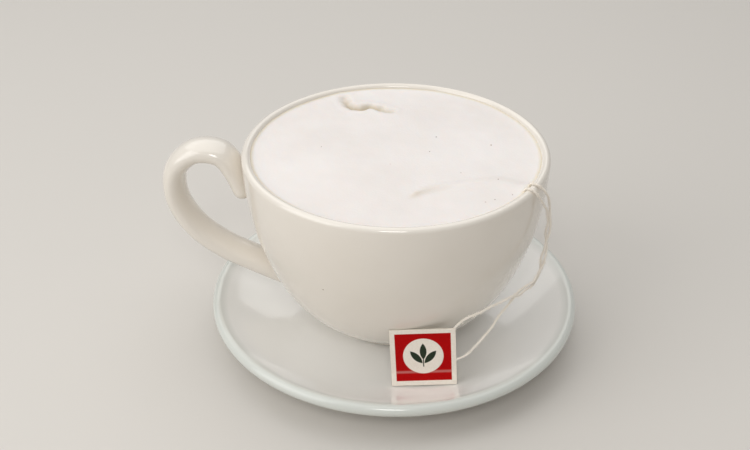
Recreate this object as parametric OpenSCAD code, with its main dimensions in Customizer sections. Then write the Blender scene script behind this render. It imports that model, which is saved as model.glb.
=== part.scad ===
// Cup of milk tea on a saucer, with a tag on two threads leaning against the cup.
// Millimetres, +Z up. The handle points along -X and the tag faces -Y.

/* [Cup] */
// Outer radius of the cup's mouth
mouth_r = 61; // [60.5:0.1:61.2]
// Height of the cup from its foot to the top of its lip
cup_h = 79.5; // [79:0.1:79.6]
// Thickness of the rounded lip
lip_t = 3.6; // [3.2:0.1:4]
// Thickness of the cup's floor above the foot
floor_t = 9; // [7:0.5:11]
// Outer radius of the cup's foot
foot_r = 27; // [25:0.5:28.5]
// Fullness of the bowl's side, where 2 is a true quarter ellipse
belly = 1.937; // [1.85:0.001:2.05]
// Distance from the lip's top down to the drink's surface
fill_drop = 1.8; // [1.8:0.1:3]

/* [Handle] */
// Thickness of the handle, from its inner to its outer face
handle_t = 9.2; // [8:0.1:9.4]
// Width of the handle across the finger
handle_w = 15.6; // [12:0.2:18]

/* [Saucer] */
// Outer radius of the saucer
saucer_r = 77.5; // [77.3:0.1:80]
// Height of the saucer's rim above the table
saucer_h = 17.5; // [16.8:0.1:17.6]
// Thickness of the saucer's wall and edge
saucer_t = 4.8; // [4.4:0.1:5.2]
// Height of the flat well that the cup stands on
well_z = 6; // [5.6:0.1:6]
// Radius of the flat well
well_r = 30; // [29:0.5:32]
// Hollowness of the saucer's side between well and edge
dish = 2.4; // [2.4:0.05:2.8]
// Outer radius of the saucer's foot ring
ring_r = 42; // [38:0.5:43]

/* [Tag] */
// Width of the card tag
tag_w = 25.4; // [22:0.2:26]
// Height of the tag above its fold
tag_h = 19; // [18:0.2:19.4]
// Height of the tag's strip below its fold
fold_h = 5.6; // [4:0.2:6]
// Thickness of the card
tag_t = 0.5; // [0.4:0.05:0.7]

/* [Threads] */
// Diameter of each thread
thread_d = 0.75; // [0.6:0.05:0.8]

/* [Hidden] */
eps = 0.01;

// Bowl: the side is a superellipse quarter from the foot's inner radius up to the lip
bowl_steps = 28;
lip_steps = 10;
lip_z = well_z + cup_h - lip_t / 2;
bowl_z = well_z + 3.7;
bowl_r = 22.6;
well_in_r = 19;
well_in_z = well_z + floor_t;
mouth_in_r = mouth_r - lip_t;
drink_z = well_z + cup_h - fill_drop;
foot_edge = 0.6;

// Saucer: the side rises from the well as a power curve and ends in a round edge
dish_steps = 22;
edge_steps = 10;
edge_r = saucer_t / 2;
edge_lean = 32.8;
edge_x = saucer_r - edge_r;
edge_z = saucer_h - edge_r;
dish_x = edge_x - edge_r * sin(edge_lean);
dish_z = edge_z + edge_r * cos(edge_lean);
ring_w = 4;
recess_z = 2;
under_x = 44.5;

// Handle: centre line from the curled tip at the top to the root low on the bowl,
// as distance from the cup's axis and height
handle_route = [
    [60.7, 60.4], [66, 73.6], [71.6, 80], [81.9, 79.8], [89.9, 71.4],
    [90.4, 58.1], [83.8, 45.3], [72.7, 35.9], [58, 28.5], [41, 21]];
handle_rings = 52;
handle_sides = 20;
tip_len = 5;

// Tag: its lower left front corner, its lean from upright above and below the fold,
// its turn in its own plane and its turn about the cup's axis
tag_corner = [3, -55, 9.3];
tag_lean = 7.8;
fold_lean = 17.5;
tag_roll = 3.5;
tag_yaw = 3.3;
hook_a = 24.9;
hook_b = 10.6;

// Threads: hand set points, from the drink's surface over the lip and down to the tag
thread_sides = 8;
thread_rings = 40;
route_a = [
    [51.5, -24, drink_z], [52, -24.5, 85.5], [53.5, -25.5, 86], [55, -26, 85.5],
    [57, -25.5, 83.5], [59, -24.5, 80], [60, -23.5, 75.5], [60.5, -24, 71],
    [61, -23.5, 67.5], [61, -23.5, 63.5], [60, -24.5, 60], [59.5, -25.5, 57],
    [58.5, -26.5, 54], [58.5, -27, 51.5], [58.5, -28, 49], [57.5, -30, 47],
    [55.5, -33.5, 45.5], [52.5, -37, 45.5], [50, -40.5, 45.5], [47.5, -42, 46],
    [43.5, -44.5, 45], [39.5, -46.5, 44], [35.5, -48.5, 42.5], [31.5, -49, 40.5],
    [28.5, -49, 38]];
route_b = [
    [49.5, -28, drink_z], [50, -28.5, 85.5], [51.5, -29.5, 86], [53, -30, 85.5],
    [55, -29.5, 83], [57, -27.5, 79], [59, -25.5, 74.5], [59.5, -24, 71.5],
    [60, -23.5, 67.5], [59.5, -23.5, 63.5], [60, -23.5, 60], [60.5, -24.5, 57],
    [60, -26.5, 54], [59.5, -27.5, 51.5], [58.5, -29, 50], [57, -31, 48],
    [55.5, -33.5, 47], [52.5, -36, 46.5], [49.5, -39, 45.5], [48, -41, 44.5],
    [46, -42.5, 42], [43, -44, 38], [40.5, -45.5, 33.5], [37.5, -47, 29.5],
    [34.5, -48.5, 26], [31.5, -50, 23]];

function outer_at(a) = [
    bowl_r + (mouth_r - bowl_r) * pow(sin(a), 2 / belly),
    lip_z - (lip_z - bowl_z) * pow(cos(a), 2 / belly)];
function inner_at(a) = [
    well_in_r + (mouth_in_r - well_in_r) * pow(sin(a), 2 / belly),
    lip_z - (lip_z - well_in_z) * pow(cos(a), 2 / belly)];
// Angle at which the outer side leaves the foot
foot_angle = asin(pow((foot_r - bowl_r) / (mouth_r - bowl_r), belly / 2));
// Angle at which the inner side meets a level
function level_angle(z) =
    z >= lip_z ? 90 : acos(pow((lip_z - z) / (lip_z - well_in_z), belly / 2));

function dish_at(x) =
    well_z + (dish_z - well_z) * pow(max(x - well_r, 0) / (dish_x - well_r), dish);
function dish_slope(x) = atan(
    (dish_z - well_z) * dish / (dish_x - well_r)
    * pow(max(x - well_r, 0) / (dish_x - well_r), dish - 1));

function unit(v) = v / norm(v);
// Catmull-Rom point at u along a list of points, u from 0 to the last index
function mirror_end(p, i) =
    i < 0 ? 2 * p[0] - p[1] :
    i > len(p) - 1 ? 2 * p[len(p) - 1] - p[len(p) - 2] : p[i];
function spline(p, u) =
    let (i = min(floor(u), len(p) - 2), f = u - i,
         a = mirror_end(p, i - 1), b = p[i], c = p[i + 1], d = mirror_end(p, i + 2))
    (2 * b + (c - a) * f + (2 * a - 5 * b + 4 * c - d) * pow(f, 2)
     + (3 * b - a - 3 * c + d) * pow(f, 3)) / 2;
// Sideways directions carried from ring to ring without twist
function carried(dirs, side, i = 0) =
    i >= len(dirs) ? [] :
    let (s = unit(side - dirs[i] * (side * dirs[i])))
    concat([s], carried(dirs, s, i + 1));

// A vector of the tag turned into its place
function turned(v) =
    let (x = v[0] * cos(tag_roll) - v[2] * sin(tag_roll),
         z = v[0] * sin(tag_roll) + v[2] * cos(tag_roll))
    [x * cos(tag_yaw) - v[1] * sin(tag_yaw), x * sin(tag_yaw) + v[1] * cos(tag_yaw), z];
fold_at = [fold_h * sin(fold_lean), fold_h * cos(fold_lean)];
function tag_front(h) = fold_at + h * [sin(tag_lean), cos(tag_lean)];
tag_back = tag_t * [cos(tag_lean), -sin(tag_lean)];
fold_back = tag_t * [cos(fold_lean), -sin(fold_lean)];
// Point half way through the card, at x along it and h above its fold
function card_at(x, h) =
    let (p = tag_front(h) + tag_back / 2) tag_corner + turned([x, p[0], p[1]]);
end_a = card_at(hook_a, tag_h);
end_b = card_at(tag_w, hook_b - fold_h);
in_a = -turned([0, sin(tag_lean), cos(tag_lean)]);
in_b = -turned([1, 0, 0]);

// Closed tube between rings of the same number of points
module skin(rings) {
    n = len(rings[0]);
    m = len(rings);
    polyhedron(
        points = [for (r = rings, p = r) p],
        faces = concat(
            [[for (k = [0 : n - 1]) k]],
            [[for (k = [n - 1 : -1 : 0]) (m - 1) * n + k]],
            [for (i = [0 : m - 2], k = [0 : n - 1])
                let (a = i * n + k, b = i * n + (k + 1) % n) [a, b + n, b]],
            [for (i = [0 : m - 2], k = [0 : n - 1])
                let (a = i * n + k, b = i * n + (k + 1) % n) [a, a + n, b + n]]));
}

module bowl_solid() {
    rotate_extrude($fn = 128) polygon(concat(
        [[0, well_z], [foot_r - foot_edge, well_z], [foot_r, well_z + foot_edge]],
        [for (i = [0 : bowl_steps])
            outer_at(foot_angle + (90 - foot_angle) * i / bowl_steps)],
        [for (i = [1 : lip_steps])
            [mouth_r - lip_t / 2, lip_z]
            + lip_t / 2 * [cos(180 * i / lip_steps), sin(180 * i / lip_steps)]],
        [[0, lip_z]]));
}

module cavity() {
    rotate_extrude($fn = 128) polygon(concat(
        [[0, well_in_z]],
        [for (i = [0 : bowl_steps]) inner_at(90 * i / bowl_steps)],
        [[mouth_in_r, lip_z + eps], [0, lip_z + eps]]));
}

module handle() {
    last = len(handle_route) - 1;
    skin([for (i = [0 : handle_rings])
        let (u = last * i / handle_rings,
             c = spline(handle_route, u),
             d = unit(spline(handle_route, min(u + eps, last))
                      - spline(handle_route, max(u - eps, 0))),
             near = norm(c - handle_route[0]) / tip_len,
             s = near > 1 ? 1 : sqrt(1 - pow(1 - max(near, 0.1), 2)))
        [for (k = [0 : handle_sides - 1])
            let (a = 360 * k / handle_sides,
                 t = s * handle_t / 2 * cos(a),
                 w = s * handle_w / 2 * sin(a))
            [-(c[0] - d[1] * t), w, c[1] + d[0] * t]]]);
}

module cup() {
    color("#ebe4d6") difference() {
        union() {
            bowl_solid();
            handle();
        }
        cavity();
    }
}

module saucer() {
    color("#dedfd7") rotate_extrude($fn = 128) polygon(concat(
        [[0, well_z]],
        [for (i = [0 : dish_steps])
            let (x = well_r + (dish_x - well_r) * i / dish_steps) [x, dish_at(x)]],
        [for (i = [1 : edge_steps])
            let (a = 90 + edge_lean - 180 * i / edge_steps)
            [edge_x + edge_r * cos(a), edge_z + edge_r * sin(a)]],
        [for (i = [dish_steps - 1 : -1 : 0])
            let (x = well_r + (dish_x - well_r) * i / dish_steps, s = dish_slope(x),
                 p = [x + saucer_t * sin(s), dish_at(x) - saucer_t * cos(s)])
            if (p[0] > under_x) p],
        [[ring_r, 0], [ring_r - ring_w, 0], [ring_r - ring_w - 1, recess_z], [0, recess_z]]));
}

module milk_tea() {
    top_angle = level_angle(drink_z);
    color("#ebe6de") rotate_extrude($fn = 128) polygon(concat(
        [[0, well_in_z]],
        [for (i = [0 : bowl_steps]) inner_at(top_angle * i / bowl_steps)],
        [[0, drink_z]]));
}

module tag() {
    top = tag_front(tag_h);
    color("#b0161c")
    translate(tag_corner)
    rotate([0, 0, tag_yaw])
    rotate([0, -tag_roll, 0])
    rotate([90, 0, 90])
    linear_extrude(height = tag_w)
    polygon([[0, 0], fold_at, top, top + tag_back, fold_at + tag_back, fold_back]);
}

// Thread through its points, with its end cut to lie flat on the face it meets
module thread(route, end, end_dir) {
    p = concat(route, [end]);
    last = len(p) - 1;
    u = [for (i = [0 : thread_rings - 1]) last * i / (thread_rings - 1)];
    dirs = [for (i = [0 : thread_rings - 1])
        i == 0 ? [0, 0, 1] :
        unit(spline(p, min(u[i] + eps, last)) - spline(p, u[i] - eps))];
    sides = carried(dirs, [0, 1, 0]);
    skin([for (i = [0 : thread_rings - 1])
        let (c = spline(p, u[i]), d = dirs[i], s = sides[i], w = cross(d, s))
        [for (k = [0 : thread_sides - 1])
            let (a = 360 * k / thread_sides,
                 q = c + thread_d / 2 * (s * cos(a) + w * sin(a)))
            i < thread_rings - 1 ? q : q + d * ((end - q) * end_dir) / (d * end_dir)]]);
}

module thread_a() color("#ece6d8") thread(route_a, end_a, in_a);
module thread_b() color("#ece6d8") thread(route_b, end_b, in_b);

cup();
saucer();
milk_tea();
tag();
thread_a();
thread_b();
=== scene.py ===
import math
import random

import bmesh
import bpy
from mathutils import Matrix, Vector, noise


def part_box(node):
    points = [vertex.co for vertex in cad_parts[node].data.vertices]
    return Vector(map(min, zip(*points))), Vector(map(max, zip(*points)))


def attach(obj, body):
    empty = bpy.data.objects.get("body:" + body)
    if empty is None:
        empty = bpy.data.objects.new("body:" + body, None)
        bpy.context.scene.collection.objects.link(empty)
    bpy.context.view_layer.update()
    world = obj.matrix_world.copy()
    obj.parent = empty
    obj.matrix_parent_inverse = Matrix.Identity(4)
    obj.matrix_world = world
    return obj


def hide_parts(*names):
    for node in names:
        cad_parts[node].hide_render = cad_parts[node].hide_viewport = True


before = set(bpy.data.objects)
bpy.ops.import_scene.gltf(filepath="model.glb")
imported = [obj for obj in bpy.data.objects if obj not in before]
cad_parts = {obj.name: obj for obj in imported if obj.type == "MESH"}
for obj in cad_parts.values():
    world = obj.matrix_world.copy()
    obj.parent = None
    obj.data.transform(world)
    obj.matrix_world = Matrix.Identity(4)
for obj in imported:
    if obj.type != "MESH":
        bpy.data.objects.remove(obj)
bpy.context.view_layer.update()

MM = 0.001

# Camera: a 50 mm lens about 36 cm in front of the cup and 28 cm up, looking down on it at
# about 33 degrees.
eye = Vector((20.91, -363.30, 282.17)) * MM
right = Vector((0.99670, 0.08080, 0.00150)).normalized()
forward = Vector((-0.06720, 0.83900, -0.54000)).normalized()
up = right.cross(forward).normalized()
right = forward.cross(up)
camera_data = bpy.data.cameras.new("camera")
camera_data.lens = 50
camera_data.sensor_width = 36
camera_data.clip_start = 0.01
camera = bpy.data.objects.new("camera", camera_data)
camera.matrix_world = Matrix.Translation(eye) @ Matrix(
    (right, up, -forward)).transposed().to_4x4()
bpy.context.scene.collection.objects.link(camera)
bpy.context.scene.camera = camera

# Tea bag threads: two lengths of unbleached cotton twine, each of three plies twisted
# together. They come out of the froth, lie over the lip and hang down to the tag.
thread_d = 0.75 * MM
plies, ply_turn, ply_r, lay_r = 3, 3.0 * MM, 0.31 * thread_d, 0.3 * thread_d
stray_fibres, fibre_out, fibre_long = 600, (0.25, 0.85), 1.6
per_span = 16
drink_low, drink_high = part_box("milk_tea")
level = drink_high.z / MM
route_a = [
    (51.5, -24, level), (52, -24.5, 85.5), (53.5, -25.5, 86), (55, -26, 85.5),
    (57, -25.5, 83.5), (59, -24.5, 80), (60, -23.5, 75.5), (60.5, -24, 71),
    (61, -23.5, 67.5), (61, -23.5, 63.5), (60, -24.5, 60), (59.5, -25.5, 57),
    (58.5, -26.5, 54), (58.5, -27, 51.5), (58.5, -28, 49), (57.5, -30, 47),
    (55.5, -33.5, 45.5), (52.5, -37, 45.5), (50, -40.5, 45.5), (47.5, -42, 46),
    (43.5, -44.5, 45), (39.5, -46.5, 44), (35.5, -48.5, 42.5), (31.5, -49, 40.5),
    (28.5, -49, 38), (26.08, -49.15, 34.91)]
route_b = [
    (49.5, -28, level), (50, -28.5, 85.5), (51.5, -29.5, 86), (53, -30, 85.5),
    (55, -29.5, 83), (57, -27.5, 79), (59, -25.5, 74.5), (59.5, -24, 71.5),
    (60, -23.5, 67.5), (59.5, -23.5, 63.5), (60, -23.5, 60), (60.5, -24.5, 57),
    (60, -26.5, 54), (59.5, -27.5, 51.5), (58.5, -29, 50), (57, -31, 48),
    (55.5, -33.5, 47), (52.5, -36, 46.5), (49.5, -39, 45.5), (48, -41, 44.5),
    (46, -42.5, 42), (43, -44, 38), (40.5, -45.5, 33.5), (37.5, -47, 29.5),
    (34.5, -48.5, 26), (31.5, -50, 23), (27.53, -50.97, 21.09)]


def smooth_point(points, u):
    """Point at u along a smooth line through points, u counting them from 0."""
    i = min(int(u), len(points) - 2)
    f = u - i
    b, c = points[i], points[i + 1]
    a = points[i - 1] if i else 2 * b - c
    d = points[i + 2] if i + 2 < len(points) else 2 * c - b
    return (2 * b + (c - a) * f + (2 * a - 5 * b + 4 * c - d) * f ** 2
            + (3 * b - a - 3 * c + d) * f ** 3) / 2


def paint(code):
    """sRGB hex to the linear colour that a shader takes."""
    parts = [int(code[i:i + 2], 16) / 255 for i in (0, 2, 4)]
    return [x / 12.92 if x <= 0.04045 else ((x + 0.055) / 1.055) ** 2.4 for x in parts] + [1]


def add(tree, kind, inputs, **settings):
    """A node with its settings, and its inputs set or linked."""
    new = tree.nodes.new(kind)
    for key, value in settings.items():
        setattr(new, key, value)
    for key, value in inputs.items():
        if isinstance(value, bpy.types.NodeSocket):
            tree.links.new(value, new.inputs[key])
        else:
            new.inputs[key].default_value = value
    return new


def finish_named(name, **values):
    """A new material with its shader's plain values, its tree and its shader."""
    new = bpy.data.materials.new(name)
    new.use_nodes = True
    shader = new.node_tree.nodes["Principled BSDF"]
    for key, value in values.items():
        shader.inputs[key.replace("_", " ")].default_value = value
    return new, new.node_tree, shader


def place_piece(name, mesh, body="root"):
    """Puts a finished mesh into the scene as a piece that rides on the cup's body."""
    piece = bpy.data.objects.new(name, mesh)
    bpy.context.scene.collection.objects.link(piece)
    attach(piece, body)
    return piece


# Twisted cotton: matt and soft, its fibres a little uneven in tone.
cotton, tree, shader = finish_named("twisted_cotton", Roughness=0.9, IOR=1.5)
shader.inputs["Sheen Weight"].default_value = 0.25
place = add(tree, "ShaderNodeTexCoord", {})
fibres = add(tree, "ShaderNodeTexNoise", {"Vector": place.outputs["Object"], "Scale": 2600,
                                          "Detail": 3})
tint = add(tree, "ShaderNodeMix", {0: fibres.outputs["Fac"], 6: paint("EAE1D4"),
                                   7: paint("F8F3EB")}, data_type="RGBA")
tree.links.new(tint.outputs[2], shader.inputs["Base Color"])
fluff = add(tree, "ShaderNodeBump", {"Height": fibres.outputs["Fac"], "Strength": 0.5,
                                     "Distance": 0.08 * MM})
tree.links.new(fluff.outputs["Normal"], shader.inputs["Normal"])


def twine(name, route):
    """Plies wound round a route with stray fibres, its middle line and its length."""
    points = [Vector(p) * MM for p in route]
    count = per_span * (len(points) - 1)
    line = [smooth_point(points, i / per_span) for i in range(count + 1)]
    curve = bpy.data.curves.new(name, "CURVE")
    curve.dimensions = "3D"
    curve.bevel_depth, curve.bevel_resolution, curve.use_fill_caps = ply_r, 2, True
    for ply in range(plies):
        run, side = 0.0, Vector((0, 1, 0))
        spline = curve.splines.new("POLY")
        spline.points.add(count)
        for i, point in enumerate(line):
            ahead = (line[min(i + 1, count)] - line[max(i - 1, 0)]).normalized()
            side = (side - ahead * side.dot(ahead)).normalized()
            run += (point - line[max(i - 1, 0)]).length
            angle = math.tau * (run / ply_turn + ply / plies)
            away = side * math.cos(angle) + ahead.cross(side) * math.sin(angle)
            spline.points[i].co = (*(point + away * lay_r), 1)
    for _ in range(stray_fibres):
        i = random.randint(20, count - 12)
        ahead = (line[i + 1] - line[i - 1]).normalized()
        away = ahead.cross(Vector([random.uniform(-1, 1) for _ in range(3)])).normalized()
        out = random.uniform(*fibre_out) * MM
        long = random.uniform(-fibre_long, fibre_long) * MM
        hair = curve.splines.new("POLY")
        hair.points.add(4)
        for k in range(5):
            f = k / 4
            bent = line[i] + ahead * long * f + away * (lay_r + out * math.sin(2.4 * f))
            hair.points[k].co, hair.points[k].radius = (*bent, 1), 0.2 - 0.1 * f
    holder = bpy.data.objects.new(name + "_curve", curve)
    mesh = bpy.data.meshes.new_from_object(holder)
    bpy.data.objects.remove(holder)
    mesh.name = name
    for face in mesh.polygons:
        face.use_smooth = True
    mesh.materials.clear()
    mesh.materials.append(cotton)
    length = sum((b - a).length for a, b in zip(line, line[1:]))
    return place_piece(name, mesh), line, length


random.seed(5)
twine_a, line_a, length_a = twine("tea_thread_a", route_a)
twine_b, line_b, length_b = twine("tea_thread_b", route_b)
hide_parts("thread_a")
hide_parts("thread_b")

# Tag: one square of thin white card, printed red on its face around a plain white disc
# with a sprig of leaves. It was folded once near its foot, so its lower strip kicks out.
tag_w, tag_h, fold_h, tag_round = 25.4, 24.6, 5.6, 0.08
tag_roll, tag_yaw, tag_lean = math.radians(3.5), math.radians(3.3), math.radians(7.8)
card = bmesh.new()
card.from_mesh(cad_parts["tag"].data)
bmesh.ops.remove_doubles(card, verts=card.verts, dist=0.01 * MM)
bmesh.ops.dissolve_limit(card, angle_limit=0.02, verts=card.verts, edges=card.edges)
along = (Matrix.Rotation(tag_yaw, 3, "Z") @ Matrix.Rotation(-tag_roll, 3, "Y")
         @ Vector((1, 0, 0)))
upward = (Matrix.Rotation(tag_yaw, 3, "Z") @ Matrix.Rotation(-tag_roll, 3, "Y")
          @ Vector((0, math.sin(tag_lean), math.cos(tag_lean))))
corner = Vector((3, -55, 9.3)) * MM
facing = along.cross(upward)
bmesh.ops.bevel(card, geom=card.edges[:], offset=tag_round * MM, segments=2, profile=0.5,
                affect="EDGES", material=-1)
print_map = card.loops.layers.uv.new("print")
for face in card.faces:
    face.material_index = 0 if face.normal.dot(facing) > 0.9 else 1
    for loop in face.loops:
        offset = (loop.vert.co - corner) / MM
        loop[print_map].uv = (offset.dot(along) / 10, offset.dot(upward) / 10)
card_mesh = bpy.data.meshes.new("tea_tag")
card.to_mesh(card_mesh)
card.free()

# Printed card: uncoated white stock with a flat red ink that soaks in a little, so the
# edge of the print is soft and the paper's grain shows through. The print is laid out in
# centimetres from the card's lower left corner.
printed, tree, shader = finish_named("printed_card", Roughness=0.5, IOR=1.45)
shader.inputs["Specular IOR Level"].default_value = 0.06
place = add(tree, "ShaderNodeUVMap", {}, uv_map="print")
split = add(tree, "ShaderNodeSeparateXYZ", {"Vector": place.outputs["UV"]})


def sum_of(operation, first, second, third=None, clamp=False):
    """One step of arithmetic in the print's tree."""
    values = {0: first, 1: second}
    if third is not None:
        values[2] = third
    return add(tree, "ShaderNodeMath", values, operation=operation,
               use_clamp=clamp).outputs[0]


def inside(distance, soft=0.008):
    """1 where a distance in centimetres is below 0, with a soft printed edge."""
    return sum_of("MULTIPLY_ADD", distance, -0.5 / soft, 0.5, clamp=True)


def leaf_at(cx, cy, turn, long=0.36, broad=0.13):
    """A pointed leaf, as the overlap of two circles."""
    x = sum_of("SUBTRACT", split.outputs["X"], cx)
    y = sum_of("SUBTRACT", split.outputs["Y"], cy)
    s, c = math.sin(turn), math.cos(turn)
    down = sum_of("ADD", sum_of("MULTIPLY", x, c), sum_of("MULTIPLY", y, s))
    across = sum_of("ADD", sum_of("MULTIPLY", x, -s), sum_of("MULTIPLY", y, c))
    radius = (long * long + broad * broad) / (2 * broad)
    half = sum_of("ADD", sum_of("ABSOLUTE", across, 0), radius - broad)
    reach = sum_of("SQRT", sum_of("ADD", sum_of("POWER", half, 2),
                                  sum_of("MULTIPLY", down, down)), 0)
    return inside(sum_of("SUBTRACT", reach, radius))


mid_x, mid_y = tag_w / 20, 1.27
border, disc_r, stem_half_w, stem_half_h = 0.19, 0.78, 0.02, 0.2
from_x = sum_of("SUBTRACT", split.outputs["X"], mid_x)
from_y = sum_of("SUBTRACT", split.outputs["Y"], mid_y)
field = inside(sum_of("MAXIMUM",
                      sum_of("SUBTRACT", sum_of("ABSOLUTE", from_x, 0), tag_w / 20 - border),
                      sum_of("SUBTRACT", sum_of("ABSOLUTE",
                             sum_of("SUBTRACT", split.outputs["Y"], tag_h / 20), 0),
                             tag_h / 20 - border)))
disc = inside(sum_of("SUBTRACT", sum_of("SQRT", sum_of(
    "ADD", sum_of("MULTIPLY", from_x, from_x), sum_of("MULTIPLY", from_y, from_y)), 0), disc_r))
sprig = sum_of("MAXIMUM", leaf_at(mid_x, mid_y + 0.2, math.pi / 2), sum_of(
    "MAXIMUM", leaf_at(mid_x - 0.27, mid_y - 0.05, math.radians(130)),
    leaf_at(mid_x + 0.27, mid_y - 0.05, math.radians(50))))
stem = inside(sum_of("MAXIMUM",
                     sum_of("SUBTRACT", sum_of("ABSOLUTE", from_x, 0), stem_half_w),
                     sum_of("SUBTRACT", sum_of("ABSOLUTE", sum_of("ADD", from_y, 0.28), 0),
                            stem_half_h)))
sprig = sum_of("MAXIMUM", sprig, stem)
ink = sum_of("MULTIPLY", field, sum_of("SUBTRACT", 1, disc))
grain_place = add(tree, "ShaderNodeTexCoord", {})
grain = add(tree, "ShaderNodeTexNoise", {"Vector": grain_place.outputs["Object"],
                                         "Scale": 1400, "Detail": 4})
paper = add(tree, "ShaderNodeMix", {0: grain.outputs["Fac"], 6: paint("E9DFD0"),
                                    7: paint("F7F1E7")}, data_type="RGBA")
red = add(tree, "ShaderNodeMix", {0: grain.outputs["Fac"], 6: paint("A4060A"),
                                  7: paint("BE0C0C")}, data_type="RGBA")
inked = add(tree, "ShaderNodeMix", {0: ink, 6: paper.outputs[2], 7: red.outputs[2]},
            data_type="RGBA")
leafed = add(tree, "ShaderNodeMix", {0: sprig, 6: inked.outputs[2], 7: paint("2F3A2C")},
             data_type="RGBA")
# Painted highlight: a soft pale line along the fold, standing in for light catching the bend.
fold_highlight_mask = sum_of("MULTIPLY", inside(sum_of("SUBTRACT", sum_of("ABSOLUTE", sum_of(
    "SUBTRACT", split.outputs["Y"], fold_h / 10), 0), 0.02), 0.06), 0.4)
painted_fold_highlight = add(tree, "ShaderNodeMix", {0: fold_highlight_mask, 6: leafed.outputs[2], 7: paint("F2D9CF")},
           data_type="RGBA")
tree.links.new(painted_fold_highlight.outputs[2], shader.inputs["Base Color"])
tooth = add(tree, "ShaderNodeBump", {"Height": grain.outputs["Fac"], "Strength": 0.25,
                                     "Distance": 0.04 * MM})
tree.links.new(tooth.outputs["Normal"], shader.inputs["Normal"])

# Bare card: the same stock on the back and the cut edges.
bare, tree, shader = finish_named("bare_card", Roughness=0.75, IOR=1.45)
place = add(tree, "ShaderNodeTexCoord", {})
grain = add(tree, "ShaderNodeTexNoise", {"Vector": place.outputs["Object"], "Scale": 1400,
                                         "Detail": 4})
paper = add(tree, "ShaderNodeMix", {0: grain.outputs["Fac"], 6: paint("E4DAC9"),
                                    7: paint("F3ECDF")}, data_type="RGBA")
tree.links.new(paper.outputs[2], shader.inputs["Base Color"])
card_mesh.materials.append(printed)
card_mesh.materials.append(bare)
tag = place_piece("tea_tag", card_mesh)
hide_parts("tag")

# Cup: a wide latte cup of cream glazed stoneware. The bowl was turned in a mould, with a
# rounded lip, and the pulled strap handle was stuck on with slip before the glaze.
cup_low, cup_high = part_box("cup")
mouth_r, lip_top, foot_z = cup_high.y / MM, cup_high.z / MM, cup_low.z / MM
lip_t, belly, foot_r, bowl_r, foot_round = 3.6, 1.937, 27.0, 22.6, 1.2
lip_z = lip_top - lip_t / 2
bowl_z = foot_z + 3.7
well_in_r, well_in_z = 19.0, drink_low.z / MM
round_steps = 192


def outer_side(angle):
    """Point of the bowl's outer side, as distance from its axis and height."""
    s, c = math.sin(angle) ** (2 / belly), max(math.cos(angle), 0) ** (2 / belly)
    return Vector((bowl_r + (mouth_r - bowl_r) * s, 0, lip_z - (lip_z - bowl_z) * c))


def inner_side(angle):
    """Point of the bowl's inner side, as distance from its axis and height."""
    s, c = math.sin(angle) ** (2 / belly), max(math.cos(angle), 0) ** (2 / belly)
    return Vector((well_in_r + (mouth_r - lip_t - well_in_r) * s, 0,
                   lip_z - (lip_z - well_in_z) * c))


def wall_radius(height):
    """The bowl's outer radius at a height."""
    part = min(max((lip_z - height) / (lip_z - bowl_z), 0), 1) ** (belly / 2)
    return outer_side(math.acos(part)).x


def turned(profile, steps):
    """A closed solid turned from half of its outline, which starts and ends on the axis."""
    solid = bmesh.new()
    corners = [solid.verts.new(Vector(p) * MM) for p in profile]
    edges = [solid.edges.new(pair) for pair in zip(corners, corners[1:])]
    bmesh.ops.spin(solid, geom=corners + edges, cent=(0, 0, 0), axis=(0, 0, 1),
                   angle=math.tau, steps=steps, use_merge=True)
    bmesh.ops.remove_doubles(solid, verts=solid.verts, dist=0.002 * MM)
    bmesh.ops.recalc_face_normals(solid, faces=solid.faces)
    for face in solid.faces:
        face.smooth = True
    return solid


foot_angle = math.asin(((foot_r - bowl_r) / (mouth_r - bowl_r)) ** (belly / 2))
outline = [(0, 0, foot_z), (foot_r - foot_round, 0, foot_z)]
outline += [(foot_r - foot_round * (1 - math.sin(a)), 0,
             foot_z + foot_round * (1 - math.cos(a)))
            for a in [math.radians(18 * i) for i in range(1, 6)]]
outline += [(foot_r, 0, foot_z + 2.2), (foot_r + 0.1, 0, foot_z + 3.2)]
outline += [outer_side(foot_angle + (math.pi / 2 - foot_angle) * (i / 72))
            for i in range(2, 73)]
outline += [(mouth_r - lip_t / 2 + lip_t / 2 * math.cos(math.pi * i / 18), 0,
             lip_z + lip_t / 2 * math.sin(math.pi * i / 18)) for i in range(1, 18)]
outline += [inner_side(math.pi / 2 * (1 - i / 48)) for i in range(49)]
outline += [(0, 0, well_in_z)]
bowl = turned(outline, round_steps)

# The handle is swept along its own line from the curled tip down to the root, where its
# skin flares out on to the wall as the slip and glaze do.
half_t, half_w, tip_len, flare, root_in = 4.6, 7.8, 5.0, 3.0, 1.5
handle_route = [Vector((x, 0, z)) for x, z in (
    (60.7, 60.4), (66.0, 73.6), (71.6, 80.0), (81.9, 79.8), (89.9, 71.4), (90.4, 58.1),
    (83.8, 45.3), (72.7, 35.9), (58.0, 28.5), (41.0, 21.0))]
last, even_to = len(handle_route) - 1, 5.5
sides, even_rows, root_rows, flare_rows = 48, 120, 40, 10


def handle_skin(u, turn):
    """Point of the handle's skin at u along its line and an angle round it."""
    middle = smooth_point(handle_route, u)
    ahead = (smooth_point(handle_route, min(u + 0.01, last))
             - smooth_point(handle_route, max(u - 0.01, 0))).normalized()
    near = (middle - handle_route[0]).length / tip_len
    grow = 1 if near >= 1 else math.sqrt(max(1 - (1 - near) ** 2, 0.0004))
    thick, wide = grow * half_t * math.cos(turn), grow * half_w * math.sin(turn)
    return Vector((-(middle.x - ahead.z * thick), wide, middle.z + ahead.x * thick))


def outside(point):
    """How far a point is outside the bowl's wall."""
    return math.hypot(point.x, point.y) - wall_radius(point.z)


def at_radius(point, radius):
    """The point moved straight in or out to a distance from the bowl's axis."""
    shrink = radius / math.hypot(point.x, point.y)
    return Vector((point.x * shrink, point.y * shrink, point.z))


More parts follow.
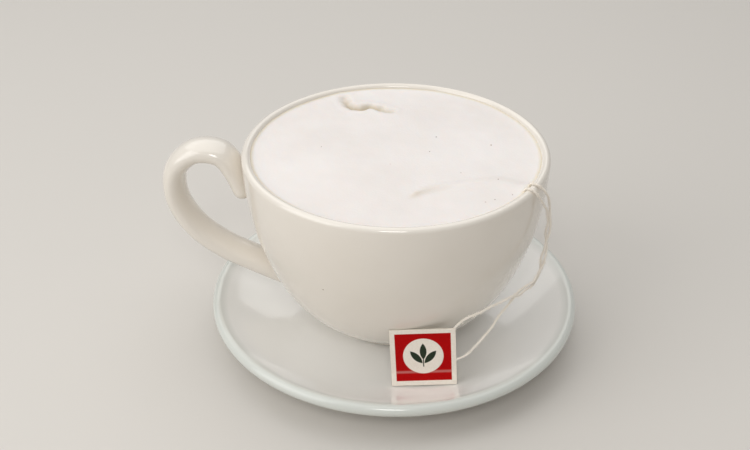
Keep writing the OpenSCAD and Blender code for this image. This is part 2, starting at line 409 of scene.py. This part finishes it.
columns = []
for j in range(sides):
    turn = math.tau * j / sides
    low, high = 7.0, float(last)
    for _ in range(40):
        mid = (low + high) / 2
        low, high = (mid, high) if outside(handle_skin(mid, turn)) > 0 else (low, mid)
    meet = handle_skin(low, turn)
    back = low
    while (handle_skin(back, turn) - meet).length < flare:
        back -= 0.004
    start = handle_skin(back, turn)
    level_out = math.atan2(meet.y, -meet.x)
    slope = wall_radius(meet.z + 0.5) - wall_radius(meet.z - 0.5)
    normal = Vector((-math.cos(level_out), math.sin(level_out), -slope)).normalized()
    centre = smooth_point(handle_route, low)
    away = meet - Vector((-centre.x, 0, centre.z))
    away = (away - normal * away.dot(normal)).normalized()
    end = meet + away * flare
    end = at_radius(end, wall_radius(end.z) - 0.04)
    column = [handle_skin(even_to * i / even_rows, turn) for i in range(even_rows)]
    column += [handle_skin(even_to + (back - even_to) * i / root_rows, turn)
               for i in range(root_rows)]
    column += [start * (1 - f) ** 2 + meet * 2 * f * (1 - f) + end * f * f
               for f in [i / flare_rows for i in range(flare_rows + 1)]]
    column.append(at_radius(end, wall_radius(end.z) - root_in))
    columns.append(column)

strap = bmesh.new()
ring = bmesh.ops.create_circle(strap, cap_ends=True, segments=sides, radius=1)["verts"]
for vert, column in zip(ring, columns):
    vert.co = column[0] * MM
loop = strap.edges[:]
for i in range(1, len(columns[0])):
    where = {tuple(vert.co): j for j, vert in enumerate(ring)}
    grown = bmesh.ops.extrude_edge_only(strap, edges=loop)["geom"]
    fresh = [g for g in grown if isinstance(g, bmesh.types.BMVert)]
    ring = sorted(fresh, key=lambda v: where[tuple(v.co)])
    loop = [g for g in grown if isinstance(g, bmesh.types.BMEdge)
            and all(v in fresh for v in g.verts)]
    for vert, column in zip(ring, columns):
        vert.co = column[i] * MM
bmesh.ops.holes_fill(strap, edges=loop, sides=0)
bmesh.ops.recalc_face_normals(strap, faces=strap.faces)
for face in strap.faces:
    face.smooth = True


def as_mesh(name, solid):
    """The finished mesh of a bmesh, which is then let go."""
    mesh = bpy.data.meshes.new(name)
    solid.to_mesh(mesh)
    solid.free()
    return mesh


strap_piece = bpy.data.objects.new("strap", as_mesh("strap", strap))
bowl_piece = bpy.data.objects.new("bowl", as_mesh("bowl", bowl))
for part in (strap_piece, bowl_piece):
    bpy.context.scene.collection.objects.link(part)
join = bowl_piece.modifiers.new("join", "BOOLEAN")
join.operation, join.object, join.solver = "UNION", strap_piece, "EXACT"
bpy.context.view_layer.update()
cup_mesh = bpy.data.meshes.new_from_object(
    bowl_piece.evaluated_get(bpy.context.evaluated_depsgraph_get()))
bpy.data.objects.remove(bowl_piece)
bpy.data.objects.remove(strap_piece)
cup_mesh.name = "cup"


def wet_glass(tree, shader, place, scale, strength):
    """Gives a glaze the slow ripple of a fired surface, on the body and the clear coat."""
    wave = add(tree, "ShaderNodeTexNoise", {"Vector": place.outputs["Object"],
                                            "Scale": scale, "Detail": 1})
    ripple = add(tree, "ShaderNodeBump", {"Height": wave.outputs["Fac"],
                                          "Strength": strength, "Distance": 0.4 * MM})
    tree.links.new(ripple.outputs["Normal"], shader.inputs["Normal"])
    tree.links.new(ripple.outputs["Normal"], shader.inputs["Coat Normal"])


# Cream stoneware glaze: a clear, wet looking glass over a warm white body, a little
# uneven in depth, with the odd iron speck.
glaze, tree, shader = finish_named("cream_stoneware_glaze", Roughness=0.16, IOR=1.52)
shader.inputs["Coat Weight"].default_value = 0.6
shader.inputs["Coat Roughness"].default_value = 0.03
place = add(tree, "ShaderNodeTexCoord", {})
depth = add(tree, "ShaderNodeTexNoise", {"Vector": place.outputs["Object"], "Scale": 45,
                                         "Detail": 3, "Roughness": 0.5})
cream = add(tree, "ShaderNodeMix", {0: depth.outputs["Fac"], 6: paint("E4DDD2"),
                                    7: paint("EAE4DB")}, data_type="RGBA")
dots = add(tree, "ShaderNodeTexVoronoi", {"Vector": place.outputs["Object"], "Scale": 130,
                                          "Randomness": 1.0})
speck = add(tree, "ShaderNodeMath", {0: dots.outputs["Distance"], 1: 0.035},
            operation="LESS_THAN")
rare = add(tree, "ShaderNodeSeparateColor", {"Color": dots.outputs["Color"]})
chosen = add(tree, "ShaderNodeMath", {0: rare.outputs[0], 1: 0.93}, operation="GREATER_THAN")
speck = add(tree, "ShaderNodeMath", {0: speck.outputs[0], 1: chosen.outputs[0]},
            operation="MULTIPLY")
specked = add(tree, "ShaderNodeMix", {0: speck.outputs[0], 6: cream.outputs[2],
                                      7: paint("8C7350")}, data_type="RGBA")
tree.links.new(specked.outputs[2], shader.inputs["Base Color"])
wet_glass(tree, shader, place, 60, 0.12)
cup_mesh.materials.clear()
cup_mesh.materials.append(glaze)
for face in cup_mesh.polygons:
    face.use_smooth = True
    face.material_index = 0
cup = place_piece("cup_and_handle", cup_mesh)
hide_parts("cup")

# Saucer: a 6 inch saucer of thicker, cooler white porcelain, pressed in a mould. It rises
# in one shallow sweep from the flat well to a rounded edge and stands on a foot ring.
saucer_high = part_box("saucer")[1]
saucer_r, saucer_top = saucer_high.x / MM, saucer_high.z / MM
saucer_t, well_r, dish, ring_r, ring_w, recess = 4.8, 30.0, 2.4, 42.0, 4.0, 2.0
edge_r, edge_lean = saucer_t / 2, math.radians(32.8)
edge_x, edge_z = saucer_r - edge_r, saucer_top - edge_r
dish_x = edge_x - edge_r * math.sin(edge_lean)
dish_z = edge_z + edge_r * math.cos(edge_lean)


def dish_point(x, under=0.0):
    """Point of the saucer's upper face, or one the given depth below it."""
    part = max(x - well_r, 0) / (dish_x - well_r)
    slope = math.atan((dish_z - foot_z) * dish / (dish_x - well_r) * part ** (dish - 1))
    return Vector((x + under * math.sin(slope), 0,
                   foot_z + (dish_z - foot_z) * part ** dish - under * math.cos(slope)))


outline = [(0, 0, foot_z)]
outline += [dish_point(well_r + (dish_x - well_r) * i / 60) for i in range(61)]
outline += [(edge_x + edge_r * math.cos(a), 0, edge_z + edge_r * math.sin(a))
            for a in [math.pi / 2 + edge_lean - math.pi * i / 20 for i in range(1, 20)]]
under = [dish_point(well_r + (dish_x - well_r) * i / 60, saucer_t) for i in range(60, -1, -1)]
outline += [point for point in under if point.x > ring_r + 2.4]
outline += [(ring_r + 1.2, 0, 2.5), (ring_r + 0.5, 0, 1.8), (ring_r + 0.2, 0, 0.9),
            (ring_r, 0, 0.45), (ring_r - 0.45, 0, 0), (ring_r - ring_w + 0.45, 0, 0),
            (ring_r - ring_w, 0, 0.45), (ring_r - ring_w - 0.3, 0, 1.2),
            (ring_r - ring_w - 1, 0, recess - 0.2), (ring_r - ring_w - 2, 0, recess),
            (0, 0, recess)]
saucer_mesh = as_mesh("saucer", turned(outline, round_steps))


def band(tree, place, start, end):
    """0 up to one distance from the cup's axis, then rising to 1 at another."""
    flat = add(tree, "ShaderNodeVectorMath", {0: place.outputs["Object"], 1: (1, 1, 0)},
               operation="MULTIPLY")
    out = add(tree, "ShaderNodeVectorMath", {0: flat.outputs[0]}, operation="LENGTH")
    return add(tree, "ShaderNodeMapRange", {"Value": out.outputs["Value"],
                                            "From Min": start * MM, "From Max": end * MM})


# White porcelain glaze: harder, cooler and whiter than the cup's, and greyer towards the
# rolled edge. The foot ring's lower face was wiped clean for firing, so it is bare, fine
# and matt.
porcelain, tree, shader = finish_named("white_porcelain_glaze", IOR=1.52)
shader.inputs["Coat Weight"].default_value = 0.5
shader.inputs["Coat Roughness"].default_value = 0.04
place = add(tree, "ShaderNodeTexCoord", {})
depth = add(tree, "ShaderNodeTexNoise", {"Vector": place.outputs["Object"], "Scale": 30,
                                         "Detail": 2})
white = add(tree, "ShaderNodeMix", {0: depth.outputs["Fac"], 6: paint("EEEDE9"),
                                    7: paint("F4F3F0")}, data_type="RGBA")
# The glaze turns greyer towards the rolled edge.
edge_grey_band = band(tree, place, saucer_r - 6.5, saucer_r - 2.0)
edged = add(tree, "ShaderNodeMix", {0: edge_grey_band.outputs[0], 6: white.outputs[2],
                                    7: paint("D3D6D0")}, data_type="RGBA")
height = add(tree, "ShaderNodeSeparateXYZ", {"Vector": place.outputs["Object"]})
wiped = add(tree, "ShaderNodeMapRange", {"Value": height.outputs["Z"],
                                         "From Min": 0.7 * MM, "From Max": 0.3 * MM})
clay = add(tree, "ShaderNodeMix", {0: wiped.outputs[0], 6: edged.outputs[2],
                                   7: paint("D8CFC0")}, data_type="RGBA")
tree.links.new(clay.outputs[2], shader.inputs["Base Color"])
matt = add(tree, "ShaderNodeMapRange", {"Value": wiped.outputs[0], "To Min": 0.14,
                                        "To Max": 0.8})
tree.links.new(matt.outputs[0], shader.inputs["Roughness"])
wet_glass(tree, shader, place, 40, 0.1)
saucer_mesh.materials.append(porcelain)
saucer = place_piece("saucer_dish", saucer_mesh)
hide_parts("saucer")

# Milk tea: the cup is full to just under its lip, and the top is steamed milk froth. The
# froth is a fine foam, torn open at the back and lifted over the threads at the front.
froth_r = mouth_r - lip_t
crown, cling, cling_w, skin = 0.45, 0.4, 1.3, 0.1
tear_deep, tear_w, curl_high, curl_out, curl_w = 2.1, 1.6, 0.3, 3.4, 1.4
fold_high, mound_high = 0.7, 0.55


def froth_height(x, y):
    """Height of the froth above the drink's flat level at a point, in millimetres."""
    out = math.hypot(x, y)
    high = crown * (1 - (out / froth_r) ** 2)
    high += cling * math.exp(-(froth_r - out) / cling_w)
    high += 0.22 * noise.noise(Vector((x, y, 3)) / 17) + 0.08 * noise.noise(
        Vector((x, y, 9)) / 5)
    return high


def to_stroke(x, y, stroke):
    """Distance from a point to a bent line, and how far along it, from 0 to 1."""
    best, where = 1e9, 0
    for i, ((ax, ay), (bx, by)) in enumerate(zip(stroke, stroke[1:])):
        dx, dy = bx - ax, by - ay
        t = min(max(((x - ax) * dx + (y - ay) * dy) / (dx * dx + dy * dy), 0), 1)
        gap = math.hypot(x - ax - t * dx, y - ay - t * dy)
        if gap < best:
            best, where = gap, (i + t) / (len(stroke) - 1)
    return best, where


tear = [(-25.6, 46.4), (-23.6, 40.6), (-21.1, 36.9), (-17.6, 36.2), (-13.6, 38.6),
        (-9.1, 36.9), (-4.6, 34.5)]
lift = [(7.8, -34.6), (10.3, -31.9), (13.9, -29.4), (18.3, -27.6), (23.9, -25.6),
        (31.3, -23.2), (40.7, -21.5), (49, -24.5)]


def torn(x, y):
    """How deep the tear is at a point, from 0 to 1, and the distance to its middle."""
    gap, where = to_stroke(x, y, tear)
    gap += 0.8 * noise.noise(Vector((x, y, 21)) / 3.5)
    return math.sin(math.pi * min(max(where, 0.05), 0.92)) ** 0.5, gap


def folded(x, y):
    """Height of the lifted fold at a point, from 0 to 1, and where it is along it."""
    gap, where = to_stroke(x, y, lift)
    return math.exp(-(gap / (1.2 + 2.2 * where)) ** 2) * min(where * 9 + 0.15, 1), where


def froth_point(x, y):
    """Height of the finished froth at a point, in millimetres above the table."""
    high = froth_height(x, y)
    deep, gap = torn(x, y)
    high -= tear_deep * deep * math.exp(-(gap / tear_w) ** 2)
    high += curl_high * deep * math.exp(-((gap - curl_out) / curl_w) ** 2)
    high += fold_high * folded(x, y)[0]
    for exit_x, exit_y, _ in (route_a[0], route_b[0]):
        high += mound_high * math.exp(-((x - exit_x) ** 2 + (y - exit_y) ** 2) / 3.4)
    return level + high


def tea_and_painted_shade(x, y):
    """How much tan tint goes on the froth at a point, from 0 to 1: tea showing through the
    tear, with painted shade darkening it, and a painted shadow just in front of the fold's low
    end."""
    deep, gap = torn(x, y)
    raised, where = folded(x + 0.4, y + 1.3)
    return min(deep * math.exp(-(gap / 1.9) ** 2)
               + 0.45 * raised * max(1 - where * 1.7, 0), 1)


outline = [(0, 0, well_in_z - 0.1)]
outline += [inner_side(math.pi / 2 * i / 40) + Vector((0.15, 0, -0.1)) for i in range(41)]
outline += [(froth_r + 0.15, 0, level + skin / 2)]
outline += [(froth_r * (1 - (i / 130) ** 1.15), 0, level + skin) for i in range(131)]
froth = turned(outline, 288)
for vert in froth.verts:
    if vert.co.z > (level + skin / 5) * MM:
        vert.co.z = froth_point(vert.co.x / MM, vert.co.y / MM) * MM
# Tan tint per point: tea in the tear with painted shade in it, and a painted shadow by the
# fold.
tea_and_shade_layer = froth.verts.layers.float.new("tea")
for vert in froth.verts:
    vert[tea_and_shade_layer] = tea_and_painted_shade(vert.co.x / MM, vert.co.y / MM)
drink_mesh = as_mesh("milk_tea", froth)

# Milk froth: almost white and soft, lit from within, made of bubbles too fine to see, with
# faint tea coloured patches and a thin tan line where it meets the glaze, partly tea at the
# meniscus and partly painted shade under the lip.
foam, tree, shader = finish_named("milk_froth", Roughness=0.5, IOR=1.33)
shader.inputs["Subsurface Weight"].default_value = 0.35
shader.inputs["Subsurface Scale"].default_value = 2.0 * MM
shader.inputs["Subsurface Radius"].default_value = (1.0, 0.75, 0.6)
place = add(tree, "ShaderNodeTexCoord", {})
cloud = add(tree, "ShaderNodeTexNoise", {"Vector": place.outputs["Object"], "Scale": 32,
                                         "Detail": 4, "Roughness": 0.55})
soft = add(tree, "ShaderNodeMapRange", {"Value": cloud.outputs["Fac"], "From Min": 0.35,
                                        "From Max": 0.65})
milk = add(tree, "ShaderNodeMix", {0: soft.outputs[0], 6: paint("E7E1DD"),
                                   7: paint("ECE7E4")}, data_type="RGBA")
# Thin tan line at the edge: partly tea at the meniscus, partly painted shade under the lip.
meniscus_and_lip_shade = band(tree, place, froth_r - 1.4, froth_r)
edged = add(tree, "ShaderNodeMix", {0: meniscus_and_lip_shade.outputs[0], 6: milk.outputs[2],
                                    7: paint("E2D5BE")}, data_type="RGBA")
# Tan tint: tea in the tear with painted shade in it, and a painted shadow in front of the fold.
tea_and_shade_seep = add(tree, "ShaderNodeAttribute", {}, attribute_name="tea")
tea_and_shade_tinted = add(tree, "ShaderNodeMix", {0: tea_and_shade_seep.outputs["Fac"], 6: edged.outputs[2],
                                      7: paint("BCAE90")}, data_type="RGBA")
tree.links.new(tea_and_shade_tinted.outputs[2], shader.inputs["Base Color"])
bubbles = add(tree, "ShaderNodeTexVoronoi", {"Vector": place.outputs["Object"],
                                             "Scale": 900})
pores = add(tree, "ShaderNodeBump", {"Height": bubbles.outputs["Distance"], "Strength": 0.2,
                                     "Distance": 0.15 * MM})
tree.links.new(pores.outputs["Normal"], shader.inputs["Normal"])
drink_mesh.materials.append(foam)
drink = place_piece("milk_tea_froth", drink_mesh)
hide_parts("milk_tea")

# Tea dust: ten small flakes of wet brown leaf that floated up out of the bag. Each one is
# flattened and turned at random where it stuck in the froth.
flakes = bmesh.new()
random.seed(7)
for x, y, size in ((15.7, 12.4, 0.42), (37.8, 7.4, 0.42), (13.4, -0.2, 0.3),
                   (-29.7, 0.2, 0.3), (26, -15.6, 0.25), (40.1, -20.5, 0.35),
                   (45.2, -30.2, 0.28), (38.7, -34.2, 0.32), (35.2, -36.3, 0.28),
                   (-1.4, -11.3, 0.22)):
    made = bmesh.ops.create_icosphere(flakes, subdivisions=1, radius=size * MM)["verts"]
    spin = Matrix.Rotation(random.uniform(0, 3), 3, "Z")
    for vert in made:
        vert.co.x *= random.uniform(0.7, 1.2)
        vert.co.y *= random.uniform(0.4, 0.8)
        vert.co.z *= 0.35
        vert.co = spin @ vert.co + Vector((x, y, froth_point(x, y))) * MM
flakes_mesh = as_mesh("tea_dust", flakes)
leaf, tree, shader = finish_named("wet_tea_leaf", Roughness=0.45, IOR=1.4)
place = add(tree, "ShaderNodeTexCoord", {})
vary = add(tree, "ShaderNodeTexNoise", {"Vector": place.outputs["Object"], "Scale": 1500})
brown = add(tree, "ShaderNodeMix", {0: vary.outputs["Fac"], 6: paint("5A3A22"),
                                    7: paint("8A6440")}, data_type="RGBA")
tree.links.new(brown.outputs[2], shader.inputs["Base Color"])
flakes_mesh.materials.append(leaf)
dust = place_piece("tea_dust", flakes_mesh)

# Studio: a plain pale floor under a large soft light high at the back, a soft fill from the
# left and a small light by the camera, in an even pale surround.
floor_mesh = bpy.data.meshes.new("floor")
sweep = bmesh.new()
bmesh.ops.create_grid(sweep, x_segments=1, y_segments=1, size=3)
sweep.to_mesh(floor_mesh)
sweep.free()
floor = bpy.data.objects.new("floor", floor_mesh)
bpy.context.scene.collection.objects.link(floor)
floor_mat, tree, shader = finish_named("floor_paint", Roughness=0.7)
shader.inputs["Base Color"].default_value = paint("D2CEC8")
floor_mesh.materials.append(floor_mat)


def soft_light(name, spot, aim, size, power, colour):
    """A square soft light that faces the point it is aimed at."""
    data = bpy.data.lights.new(name, "AREA")
    data.size, data.energy, data.color = size, power, colour
    lamp = bpy.data.objects.new(name, data)
    lamp.location = spot
    lamp.rotation_euler = (Vector(aim) - Vector(spot)).to_track_quat("-Z", "Y").to_euler()
    bpy.context.scene.collection.objects.link(lamp)


soft_light("overhead", (-0.12, 0.35, 1.0), (0, 0, 0.05), 1.6, 8.0, (1, 0.995, 0.985))
soft_light("side_fill", (-0.75, -0.45, 0.6), (0, 0, 0.04), 0.8, 4.2, (1, 0.99, 0.975))
soft_light("by_camera", (0.02, -0.62, 0.62), (0, 0, 0.06), 0.22, 1.2, (1, 0.99, 0.975))
world = bpy.data.worlds.new("surround")
world.use_nodes = True
surround = world.node_tree.nodes["Background"]
surround.inputs["Color"].default_value = paint("ECEBEA")
surround.inputs["Strength"].default_value = 0.42
bpy.context.scene.world = world
bpy.context.scene.view_settings.view_transform = "Standard"
